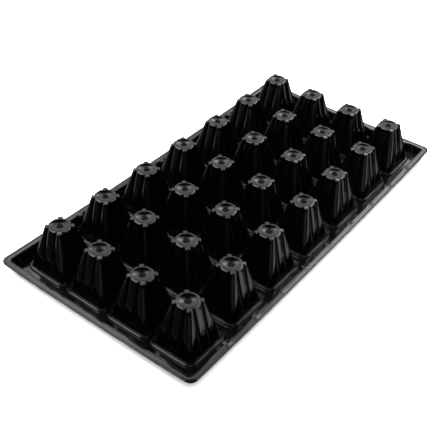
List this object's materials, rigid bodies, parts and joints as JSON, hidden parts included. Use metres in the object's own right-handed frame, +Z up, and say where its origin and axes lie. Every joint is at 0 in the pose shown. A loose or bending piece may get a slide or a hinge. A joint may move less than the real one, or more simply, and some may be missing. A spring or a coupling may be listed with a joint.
{
  "type": "plug tray",
  "caption": "Thin black plastic plug tray lying mouths down: rows of tapered, fluted cells with drain holes, a flat deck between them and a raised flange all round.",
  "frame": {"origin": "centre of the tray's footprint, at the plane of the cell mouths that the upturned tray lies on", "axes": "the tray is stored upside down, as it lies when stacked to dry: +X along its length, +Y across its width, +Z up through the cells' closed bottoms, so the cell mouths open towards -Z"},
  "size_m": [0.54, 0.28, 0.06],
  "materials": {
    "black_plastic": "glossy thermoformed sheet"
  },
  "bodies": {
    "root": {"cell_r1_c1": "black_plastic", "cell_r1_c2": "black_plastic", "cell_r1_c3": "black_plastic", "cell_r1_c4": "black_plastic", "cell_r2_c1": "black_plastic", "cell_r2_c2": "black_plastic", "cell_r2_c3": "black_plastic", "cell_r2_c4": "black_plastic", "cell_r3_c1": "black_plastic", "cell_r3_c2": "black_plastic", "cell_r3_c3": "black_plastic", "cell_r3_c4": "black_plastic", "cell_r4_c1": "black_plastic", "cell_r4_c2": "black_plastic", "cell_r4_c3": "black_plastic", "cell_r4_c4": "black_plastic", "cell_r5_c1": "black_plastic", "cell_r5_c2": "black_plastic", "cell_r5_c3": "black_plastic", "cell_r5_c4": "black_plastic", "cell_r6_c1": "black_plastic", "cell_r6_c2": "black_plastic", "cell_r6_c3": "black_plastic", "cell_r6_c4": "black_plastic", "cell_r7_c1": "black_plastic", "cell_r7_c2": "black_plastic", "cell_r7_c3": "black_plastic", "cell_r7_c4": "black_plastic", "rim_right": "black_plastic", "rim_back": "black_plastic", "rim_left": "black_plastic", "rim_front": "black_plastic"}
  },
  "joints": []
}
